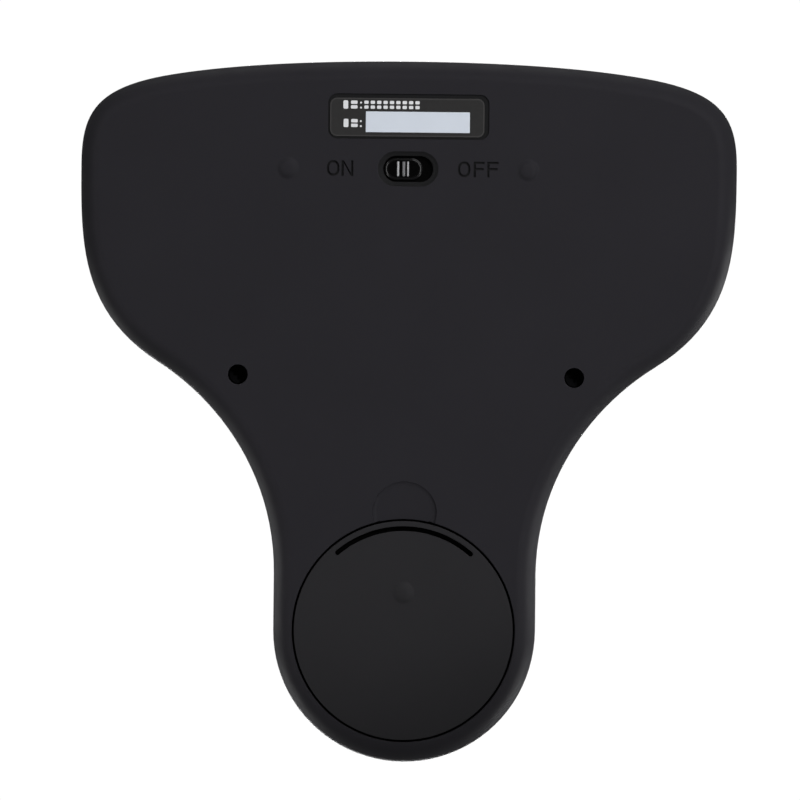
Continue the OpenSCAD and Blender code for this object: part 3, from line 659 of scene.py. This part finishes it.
# ------------------------------------------------------------------ front cover
def build_front():
    prof = [(8.2, CEIL), (6.4, CEIL - 0.35), (5, CEIL - 1.1), (4, CEIL - 2), (2.9, CEIL - 4), (2.2, CEIL - 6.2), (2.0, 14),
            (3.2, 13.2), (3.2, 10.4), (2.25, 10.4), (2.15, 10.6), (2.15, SEAM), (0.2, SEAM), (0.06, SEAM + 0.08),
            (0, SEAM + 0.22)]
    prof += [(6.2 * (1 - math.sin(b)), FRONT - 8 * (1 - math.cos(b))) for b in np.linspace(math.pi / 2, 0, 15)]
    shell = loft("front_cover_shell", [ring(outline(d), z) for d, z in prof])
    for x, y in CASE_POSTS:
        add(shell, lathe("post", [(0, 9.4), (3.1, 9.4), (3.1, CEIL + 1), (0, CEIL + 1)], [x, y, 0], n=48))
    for x, y in BOARD_POSTS:
        add(shell, lathe("post", [(0, BOARD_TOP), (2.8, BOARD_TOP), (2.8, CEIL + 1), (0, CEIL + 1)], [x, y, 0], n=48))
    for x, y in CASE_POSTS:
        cut(shell, lathe("cut", [(0, 9), (1.1, 9), (1.1, 18), (0, 18)], [x, y, 0], n=32))
    for x, y in BOARD_POSTS:
        cut(shell, lathe("cut", [(0, BOARD_TOP - 1), (0.85, BOARD_TOP - 1), (0.85, BOARD_TOP + 3.6), (0, BOARD_TOP + 3.6)],
                         [x, y, 0], n=32))
    cut(shell, cutter(lambda o: window(-0.15 - o), FRONT, -1, 1.4, r=0.15, k=3))
    cut(shell, box("cut", 0, 48.5, 104, 38, CEIL - 1, FRONT, 2))
    # round button in a dished ring
    steps = [(-1.0, 2.6), (0.0, 2.6), (0.04, 2.35), (0.16, 1.9), (0.3, 1.4), (0.38, 0.8), (0.42, 0.35), (0.48, 0.16),
             (0.62, 0.03), (0.8, 0.0), (5, 0.0)]
    cut(shell, loft("cut", [ring(circle(0, MAIN_Y, 14.0 + o, 128), FRONT - d) for d, o in steps]))
    for s in (-1, 1):
        cut(shell, cutter(lambda o, s=s: pill(s * ARROW_X, ARROW_Y, 18 + 2 * o, 9 + 2 * o), FRONT, -1, 5, r=0.35))
    return piece(shell, "case", SOFT_BLACK, "case_black", "front_cover")


# ------------------------------------------------------------------ battery cover
def arc_slot(r, w, half, z0, z1, grow=0.0, n=64):
    """The plan of a curved slot with round ends, as a ring of points."""
    a = np.radians(np.linspace(90 - half, 90 + half, n))
    ro, ri = r + w / 2 + grow, r - w / 2 - grow
    outer = np.stack([ro * np.cos(a), ro * np.sin(a)], 1)
    inner = np.stack([ri * np.cos(a[::-1]), ri * np.sin(a[::-1])], 1)
    ends = []
    for k, turn in ((90 + half, 0), (90 - half, math.pi)):
        c = r * np.array([math.cos(math.radians(k)), math.sin(math.radians(k))])
        t = np.radians(k) + turn + np.linspace(0, math.pi, 14)[1:-1]
        ends.append(c + (w / 2 + grow) * np.stack([np.cos(t), np.sin(t)], 1))
    # outer runs from the right end to the left end, then the left end, the inner side and the right end
    right_end = ends[1]
    return np.concatenate([outer, ends[0], inner, right_end]) + [0, LID_Y]


def build_cover():
    f, t_disc = FACE, 1.8
    prof = [(0, f)] + [(27.3 - o, f + d) for d, o in mouth(0.16, 4)]
    prof += [(27.3, f + t_disc - 0.1), (27.2, f + t_disc), (0, f + t_disc)]
    disc = lathe("battery_cover_disc", prof, [0, LID_Y, 0], n=192)
    add(disc, dome(0, -45, 1.5, True))
    # latch lip and hooks
    a = np.radians(np.linspace(98, 82, 13))
    def lip(z):
        p = [((27.45) * math.cos(x), 27.45 * math.sin(x)) for x in a] + [(26.8 * math.cos(x), 26.8 * math.sin(x)) for x in a[::-1]]
        return ring(np.array(p) + [0, LID_Y], z)
    add(disc, loft("lip", [lip(f + 1.0), lip(f + 1.8)]))
    t = np.radians(np.linspace(8, 115, 25))
    arc = np.concatenate([np.stack([3.6 * np.cos(t), 3.6 * np.sin(t)], 1),
                          np.stack([2.65 * np.cos(t[::-1]), 2.65 * np.sin(t[::-1])], 1)])
    for s in (-1, 1):
        add(disc, loft("hook", [np.column_stack([np.full(len(arc), s * 6 + e), arc[:, 0] - 81.8, arc[:, 1] + f])
                                for e in (-1.6, 1.6)]))
    # ribs inside, under the slot's inner side
    for s in (-1, 1):
        add(disc, box("rib", s * 17.5, LID_Y, 1.0, 26, f + 1, 2.95))
    depths = [(-1.0, 0.12)] + mouth(0.12, 3) + [(3.0, 0.0)]
    cut(disc, loft("cut", [ring(arc_slot(25.4, 1.17, 40.8, 0, 0, o), f + d) for d, o in depths]))
    # the cover takes the lighter copy of the soft-touch black, as painted light
    piece(disc, "battery_cover", LIT_COVER_BLACK, "case_black", "battery_cover")
    c = centres(disc)
    # index 1: the slot's walls, the disc's edge and its inner faces get the near-black painted shade
    index = (c[:, 2] > f + 0.2).astype(np.int32)
    index[(c[:, 2] > f + t_disc - 0.02) | (c[:, 1] < LID_Y - 27.4)] = 2
    paint_gap_shade(disc, index)
    disc.data.materials.append(INSIDE_BLACK)


# ------------------------------------------------------------------ power switch
def build_knob():
    x, y, f = 1.15, SW_Y, FACE
    rings = [(0.5, -0.45), (0.5, -0.32), (0.51, -0.29), (0.523, -0.26), (0.556, -0.18), (0.572, -0.14), (0.65, -0.05),
             (0.78, 0.0), (0.97, 0.0)]
    body = [ring(pill(x, y, 9.0 + 2 * o, 5.0 + 2 * o), f + z) for z, o in rings]
    body += [ring(pill(x, y, 9.5 - 2 * o, 5.6 - 2 * o), f + z) for z, o in
             ((0.98, 0.24), (1.0, 0.19), (1.04, 0.12), (1.1, 0.06), (1.18, 0.02), (1.28, 0.0), (2.5, 0.0))]
    knob = loft("power_knob_cap", body)
    # a flat hollow inside a thin rounded lip, with three ridges standing in it
    hollow = [(0.4, 0.05), (0.5, 0.04), (0.53, 0.02), (0.575, 0.0), (0.62, -0.01), (0.66, -0.05), (0.7, -0.3)]
    cut(knob, loft("cut", [ring(pill(x, y, 8.0 + 2 * o, 4.0 + 2 * o), f + z) for z, o in hollow[::-1]]))
    # the ridges are coloured pale as painted highlight, the middle one dimmer
    for cx, wide, mat in ((0.04, 0.26, RIDGE_HIGHLIGHT), (1.08, 0.36, RIDGE_HIGHLIGHT_DIM), (2.5, 0.3, RIDGE_HIGHLIGHT)):
        prof = []
        for k in np.linspace(0, math.pi, 13):
            prof.append((cx + wide * math.cos(k), 0.62 - 0.47 * math.sin(k)))
        prof = [(cx + wide, 1.2)] + prof + [(cx - wide, 1.2)]
        half = 1.85
        rings = []
        for yy, drop in ((-half, 0.30), (-half + 0.12, 0.12), (-half + 0.4, 0.03), (0, 0.0), (half - 0.4, 0.03), (half - 0.12, 0.12), (half, 0.30)):
            rings.append(np.array([[px, y + yy, f + min(pz + drop, 1.2)] for px, pz in prof]))
        piece(loft(f"power_knob_ridge_{cx:.1f}", rings), "power_knob", mat, "knob_black")
    add(knob, loft("flange", [ring(rrect(x, y, 19, 8, 1, 6), f + 2.3), ring(rrect(x, y, 19, 8, 1, 6), f + 3.0)]))
    cut(knob, box("cut", x, y, 1.7, 2.2, f + 1.3, 5))
    return piece(knob, "power_knob", KNOB_BLACK, "knob_black", "power_knob")


# ------------------------------------------------------------------ label
def build_label():
    z = FACE + 0.5
    label = soft_box("rating_label_film", 0.35, LABEL_Y - 0.2, 38.6, 9.7, z - 0.18, z, 1.8, 0.12, 4)
    piece(label, "case", LABEL_GREY, "label_grey", "rating_label")
    # a thin lighter ring just inside the film's edge, as painted highlight
    def edge(o, h):
        return ring(rrect(0.35, LABEL_Y - 0.2, 38.6 - 2 * o, 9.7 - 2 * o, 1.8 - o, 8), h)
    line = loft("label_edge_line", [edge(0.14, z - 0.17), edge(0.14, z - 0.195), edge(0.36, z - 0.195), edge(0.36, z - 0.17)],
                closed=True)
    piece(line, "case", LABEL_EDGE_HIGHLIGHT, "label_grey")
    sticker = soft_box("serial_sticker_paper", -2.3, LABEL_Y - 1.35, 25.9, 5.15, z - 0.28, z - 0.18, 0.12, 0.02, 2)
    piece(sticker, "case", PAPER, "sticker_white", "serial_sticker")
    # small pale blocks stand where the lines of print are
    blocks = []
    for y, start in ((76.5, 15.69), (71.9, 15.6)):
        blocks += [(start, y, 1.2, 2.1), (start - 2.1, y + 0.58, 1.65, 0.85), (start - 2.1, y - 0.58, 1.65, 0.85),
                   (11.9, y + 0.5, 0.45, 0.45), (11.9, y - 0.75, 0.45, 0.45)]
    blocks += [(10.55 - 1.59 * k, 76.5 + e, 1.08, 0.82) for k in range(9) for e in (-0.6, 0.6)]
    verts, faces = [], []
    for x, y, w, h in blocks:
        p = rrect(x, y, w, h, min(w, h) * 0.25, 3)
        n, base = len(p), len(verts)
        verts += [tuple(v) for v in ring(p, z - 0.2)] + [tuple(v) for v in ring(p, z - 0.17)]
        faces += [[base + i, base + (i + 1) % n, base + n + (i + 1) % n, base + n + i] for i in range(n)]
        faces += [[base + i for i in range(n)], [base + n + i for i in range(n)]]
    piece(new_object("label_print_blocks", verts, faces), "case", PRINT_WHITE, "sticker_white")


# ------------------------------------------------------------------ window and display
def build_window():
    t = [(0.35, FRONT)] + [(0.35 * (1 - math.sin(b)), FRONT - 0.35 * (1 - math.cos(b))) for b in np.linspace(0, math.pi / 2, 5)[1:]]
    prof = t + [(0.0, FRONT - 1.13), (0.05, FRONT - 1.18)]
    lens = loft("display_window_lens", [ring(window(d), z) for d, z in prof])
    piece(lens, "case", GLASS, "window_black", "display_window")


def digit_segments(x, y, w, h, s, on):
    """Outlines of a seven-segment digit's lit bars, centred at x, y."""
    g = 0.25
    a, b = w / 2, h / 2
    k = s / 2
    def hbar(cy):
        return [(-a + g + k, cy), (-a + g + s, cy + k), (a - g - s, cy + k), (a - g - k, cy), (a - g - s, cy - k), (-a + g + s, cy - k)]
    def vbar(cx, y0, y1):
        return [(cx, y0 + g), (cx + k, y0 + g + k), (cx + k, y1 - g - k), (cx, y1 - g), (cx - k, y1 - g - k), (cx - k, y0 + g + k)]
    bars = {"a": hbar(b - k), "g": hbar(0), "d": hbar(-b + k), "f": vbar(-a + k, 0, b - k), "b": vbar(a - k, 0, b - k),
            "e": vbar(-a + k, -b + k, 0), "c": vbar(a - k, -b + k, 0)}
    slant = 0.10
    return [np.array([(x + u + slant * v, y + v) for u, v in bars[q]]) for q in on]


def build_digits():
    z0, z1 = BOARD_TOP + 4.86, BOARD_TOP + 4.9
    verts, faces = [], []
    shapes = digit_segments(-13, 48.5, 17, 30, 3.2, "abcdef") + digit_segments(17, 48.5, 17, 30, 3.2, "abcdef")
    shapes.append(np.array([(0.4, 34.0), (0.4, 37.0), (3.4, 37.0), (3.4, 34.0)]))
    for p in shapes:
        n, base = len(p), len(verts)
        verts += [(u, v, z0) for u, v in p] + [(u, v, z1) for u, v in p]
        faces += [[base + i, base + (i + 1) % n, base + n + (i + 1) % n, base + n + i] for i in range(n)]
        faces += [[base + i for i in range(n)], [base + n + i for i in range(n)]]
    digits = new_object("lcd_segments", verts, faces)
    piece(digits, "case", SEGMENT, "backlight_white")


# ------------------------------------------------------------------ buttons
def build_buttons():
    top = FRONT
    prof = [(0, BOARD_TOP + 3.6), (1.5, BOARD_TOP + 3.6), (1.5, BOARD_TOP + 4.1), (15.4, BOARD_TOP + 4.1), (15.5, BOARD_TOP + 4.2),
            (15.5, CEIL - 0.2), (15.4, CEIL - 0.1), (13.7, CEIL - 0.1), (13.7, top + 0.45)]
    for b in np.linspace(0, math.pi / 2, 6):
        prof.append((13.25 + 0.45 * math.cos(b), top + 0.5 + 0.45 * math.sin(b)))
    for r in np.linspace(12.6, 0, 16):
        prof.append((r, top + 0.30 + 0.63 * (r / 12.6) ** 2.4))
    cap = lathe("main_button_cap", prof, [0, MAIN_Y, 0], n=160)
    piece(cap, "main_button", BUTTON_BLACK, "button_black", "main_button")
    # generic ring mark, printed in the dish
    rings = []
    for r, dz in ((4.2, 0.0), (4.2, 0.02), (3.6, 0.02), (3.6, 0.0)):
        rings.append(ring(circle(0, MAIN_Y, r, 96), top + 0.30 + 0.63 * (r / 12.6) ** 2.4 - 0.01 + dz * 1.4))
    mark = loft("main_button_mark", rings, closed=True)
    piece(mark, "main_button", ICON, "sticker_white")
    for s, name, body in ((-1, "up_button", "up_button"), (1, "down_button", "down_button")):
        x = s * ARROW_X
        rings = [ring(pill(x, ARROW_Y, 20, 11), BOARD_TOP + 4.1), ring(pill(x, ARROW_Y, 20, 11), CEIL - 0.1),
                 ring(pill(x, ARROW_Y, 17.4, 8.4), CEIL - 0.1), ring(pill(x, ARROW_Y, 17.4, 8.4), top + 0.35)]
        for b in np.linspace(0, math.pi / 2, 6)[1:]:
            o = 0.4 * (1 - math.cos(b))
            rings.append(ring(pill(x, ARROW_Y, 17.4 - 2 * o, 8.4 - 2 * o), top + 0.35 + 0.4 * math.sin(b)))
        for o, z in ((1.0, 0.745), (2.0, 0.70), (3.2, 0.655)):
            rings.append(ring(pill(x, ARROW_Y, 17.4 - 2 * o, 8.4 - 2 * o), top + z))
        cap = loft(f"{name}_cap", rings)
        add(cap, lathe("nub", [(0, BOARD_TOP + 3.6), (1.5, BOARD_TOP + 3.6), (1.5, BOARD_TOP + 4.3), (0, BOARD_TOP + 4.3)], [x, ARROW_Y, 0], n=32))
        piece(cap, body, BUTTON_BLACK, "button_black", name)
        # a chevron that points up or down
        k = 1 if name == "up_button" else -1
        pts = [(-2.0, -0.75), (0, 1.05), (2.0, -0.75), (2.0, -0.05), (0, 1.75), (-2.0, -0.05)]
        p = np.array([(x + u, ARROW_Y + k * (v - 0.5)) for u, v in pts])
        mark = loft(f"{name}_mark", [ring(p, top + 0.64), ring(p, top + 0.672)])
        piece(mark, body, ICON, "sticker_white")


# ------------------------------------------------------------------ batteries and contacts
def coil_path(x0, x1, y, z, r0, r1, turns, n=150):
    t = np.linspace(0, 1, n)
    # closed end turns, open turns between
    x = x0 + (x1 - x0) * np.clip((t - 0.12) / 0.76, 0, 1) * 0.96 + (x1 - x0) * 0.04 * t
    r = r0 + (r1 - r0) * t
    a = 2 * math.pi * turns * t
    return np.stack([x, y + r * np.cos(a), z + r * np.sin(a)], 1)


def build_cells():
    z = 8.7
    for name, y, s in (("battery_upper", -49.0, 1), ("battery_lower", -59.8, -1)):
        def q(h):
            return s * h
        prof = [(0, q(-20.1)), (3.6, q(-20.1)), (3.7, q(-19.95)), (4.3, q(-19.95)), (4.75, q(-19.75)), (4.9, q(-19.4))]
        ends = prof + [(4.9, q(22.6)), (4.6, q(22.95)), (3.9, q(23.15)), (2.3, q(23.2)), (2.0, q(23.3)), (1.9, q(23.6)),
                       (1.9, q(24.15)), (1.7, q(24.38)), (0, q(24.4))]
        core = lathe(f"{name}_can", ends, [0, y, z], axis="X", n=72)
        piece(core, "case", NICKEL, "contact_nickel")
        prof = [(4.3, q(-19.72)), (4.9, q(-19.6)), (5.17, q(-19.3)), (5.25, q(-18.9)), (5.25, q(21.9)), (5.17, q(22.4)),
                (4.95, q(22.75)), (4.5, q(22.98)), (3.7, q(23.12)), (3.7, q(23.0)), (4.4, q(22.85)), (4.8, q(22.6)),
                (4.8, q(-19.2)), (4.3, q(-19.5))]
        a = 2 * math.pi * np.arange(96) / 96
        rings = [np.stack([np.full(96, h), r * np.cos(a), r * np.sin(a)], 1) + [0, y, z] for r, h in prof]
        sleeve = loft(f"{name}_sleeve", rings, closed=True)
        piece(sleeve, "case", sleeve_material(f"sleeve_{name}", s), "cell_sleeve", name)
    # contacts: pressed leaves with a rounded outline, each with its tab, and conical springs
    def leaf(name, x, y, w, z0, z1):
        p = rrect(y, (z0 + z1) / 2, w, z1 - z0, 0.8, 6)
        rings = [np.column_stack([np.full(len(p), xx), p[:, 0], p[:, 1]]) for xx in (x - 0.2, x + 0.2)]
        return loft(name, rings)
    pos = leaf("contact_positive_leaf", -24.6, -59.8, 8, 4.6, 13.4)
    # a tab at the leaf's top that stands out away from the cell
    add(pos, box("tab", -26.1, -59.8, 2.8, 3, 12, 12.4))
    piece(pos, "case", NICKEL, "contact_nickel", "contact_positive")
    neg = leaf("contact_negative_leaf", -24.6, -49, 8, 4.6, 13.4)
    add(neg, box("tab", -26.1, -49, 2.8, 3, 12, 12.4))
    piece(neg, "case", NICKEL, "contact_nickel", "contact_negative")
    spring = tube("contact_negative_spring", coil_path(-24.3, -20.45, -49, z, 3.6, 2.0, 4.5), 0.3, (1, 0, 0), 10)
    piece(spring, "case", NICKEL, "contact_nickel")
    bridge = leaf("contact_bridge_leaf", 24.6, -54.4, 18.8, 4.6, 13.4)
    piece(bridge, "case", NICKEL, "contact_nickel", "contact_bridge")
    spring = tube("contact_bridge_spring", coil_path(24.3, 20.45, -59.8, z, 3.6, 2.0, 4.5), 0.3, (1, 0, 0), 10)
    piece(spring, "case", NICKEL, "contact_nickel")
    pad = soft_box("battery_cover_foam", 0, LID_Y, 30, 18, FACE + 1.8, 3.1, 1.0, 0.15, 3)
    piece(pad, "battery_cover", FOAM, "foam_grey", "battery_foam_pad")


build_rear()
build_front()
build_cover()
build_knob()
build_label()
build_window()
build_digits()
build_buttons()
build_cells()


# ------------------------------------------------------------------ studio
def emission(name, colour, strength):
    mat = bpy.data.materials.new(name)
    mat.use_nodes = True
    nt = mat.node_tree
    nt.nodes.clear()
    out = nt.nodes.new("ShaderNodeOutputMaterial")
    em = nt.nodes.new("ShaderNodeEmission")
    em.inputs["Color"].default_value = colour
    em.inputs["Strength"].default_value = strength
    nt.links.new(em.outputs["Emission"], out.inputs["Surface"])
    return mat


def stage_plane(name, z, size, mat, down=False):
    s = size / 2
    p = [(-s, -s, z), (s, -s, z), (s, s, z), (-s, s, z)]
    obj = new_object(name, p, [[3, 2, 1, 0] if down else [0, 1, 2, 3]], scale=1.0)
    obj.data.materials.append(mat)
    for ray in ("visible_diffuse", "visible_glossy", "visible_shadow", "visible_volume_scatter"):
        setattr(obj, ray, False)
    return obj


stage_plane("studio_floor", -3.4, 40, emission("floor_white", (0.93, 0.935, 0.94, 1), 1.0))
stage_plane("studio_backdrop", 3.4, 40, emission("backdrop_white", (1, 1, 1, 1), 1.02), down=True)

world = bpy.data.worlds.new("studio")
bpy.context.scene.world = world
world.use_nodes = True
nt = world.node_tree
nt.nodes.clear()
out = nt.nodes.new("ShaderNodeOutputWorld")
bg = nt.nodes.new("ShaderNodeBackground")
coord = nt.nodes.new("ShaderNodeTexCoord")
sep = nt.nodes.new("ShaderNodeSeparateXYZ")
ramp = nt.nodes.new("ShaderNodeValToRGB")
span = nt.nodes.new("ShaderNodeMapRange")
span.inputs["From Min"].default_value, span.inputs["From Max"].default_value = -1.0, 1.0
nt.links.new(coord.outputs["Generated"], sep.inputs["Vector"])
nt.links.new(sep.outputs["Z"], span.inputs["Value"])
nt.links.new(span.outputs["Result"], ramp.inputs["Fac"])
nt.links.new(ramp.outputs["Color"], bg.inputs["Color"])
nt.links.new(bg.outputs["Background"], out.inputs["Surface"])
ramp.color_ramp.elements[0].position = 0.0
ramp.color_ramp.elements[0].color = (0.012, 0.012, 0.012, 1)
ramp.color_ramp.elements[1].position = 1.0
ramp.color_ramp.elements[1].color = (0.10, 0.10, 0.10, 1)
for at, level in ((0.06, 0.02), (0.14, 0.16), (0.45, 0.24), (0.6, 0.22), (0.94, 0.16)):
    e = ramp.color_ramp.elements.new(at)
    e.color = (level, level, level * 1.02, 1)
bg.inputs["Strength"].default_value = 1.0


def softbox(name, location, target, size, power, spread=180.0, size_y=None, colour=(1, 1, 1)):
    data = bpy.data.lights.new(name, "AREA")
    data.shape = "RECTANGLE" if size_y else "SQUARE"
    data.size = size
    if size_y:
        data.size_y = size_y
    data.energy = power
    data.color = colour
    data.spread = math.radians(spread)
    obj = bpy.data.objects.new(name, data)
    obj.location = location
    obj.rotation_mode = "QUATERNION"
    obj.rotation_quaternion = (Vector(target) - Vector(location)).to_track_quat("-Z", "Y")
    obj.visible_camera = False
    bpy.context.scene.collection.objects.link(obj)
    return obj


# from below: a soft key from the head's end, a strip on each side and a spot that fades at the tail
softbox("key_below", (-0.30, 0.60, -0.65), (0, 0.03, 0), 0.55, 1.0)
softbox("strip_below_left", (0.62, -0.04, -0.62), (0, -0.04, 0), 1.2, 1.05, size_y=0.15)
softbox("strip_below_right", (-0.62, -0.04, -0.62), (0, -0.04, 0), 1.2, 1.25, size_y=0.15)
spot_data = bpy.data.lights.new("face_spot", "SPOT")
spot_data.energy = 32.5
spot_data.spot_size = math.radians(11.6)
spot_data.spot_blend = 0.47
spot_data.shadow_soft_size = 0.02
spot = bpy.data.objects.new("face_spot", spot_data)
spot.location = (-0.44, 0.42, -1.03)
spot.rotation_mode = "QUATERNION"
spot.rotation_quaternion = (Vector((0, 0.042, 0)) - spot.location).to_track_quat("-Z", "Y")
spot.visible_camera = False
spot.visible_glossy = False
bpy.context.scene.collection.objects.link(spot)
# from the sides, along the stem
softbox("tail_left", (0.12, -0.13, 0.07), (0.026, -0.075, 0.008), 0.05, 0.0045, spread=60, size_y=0.05)
softbox("tail_right", (-0.12, -0.13, 0.07), (-0.026, -0.075, 0.008), 0.05, 0.006, spread=60, size_y=0.05)
softbox("stem_left", (0.15, -0.025, 0.07), (0.034, -0.025, 0.008), 0.06, 0.0095, spread=80, size_y=0.06)
softbox("stem_right", (-0.15, 0.0, 0.07), (-0.036, -0.015, 0.008), 0.06, 0.015, spread=80, size_y=0.06)
# from above
softbox("head_rim", (0, 0.25, 0.12), (0, 0.087, 0.008), 0.2, 0.008, spread=80, size_y=0.05)
softbox("key_above", (-0.03, 0.08, 1.3), (0, 0.02, 0.02), 0.3, 16.0)
softbox("fill_above", (0.1, -0.35, 1.2), (0, 0, 0.025), 0.4, 8.0)

scene = bpy.context.scene
scene.view_settings.view_transform = "Standard"
scene.view_settings.look = "None"
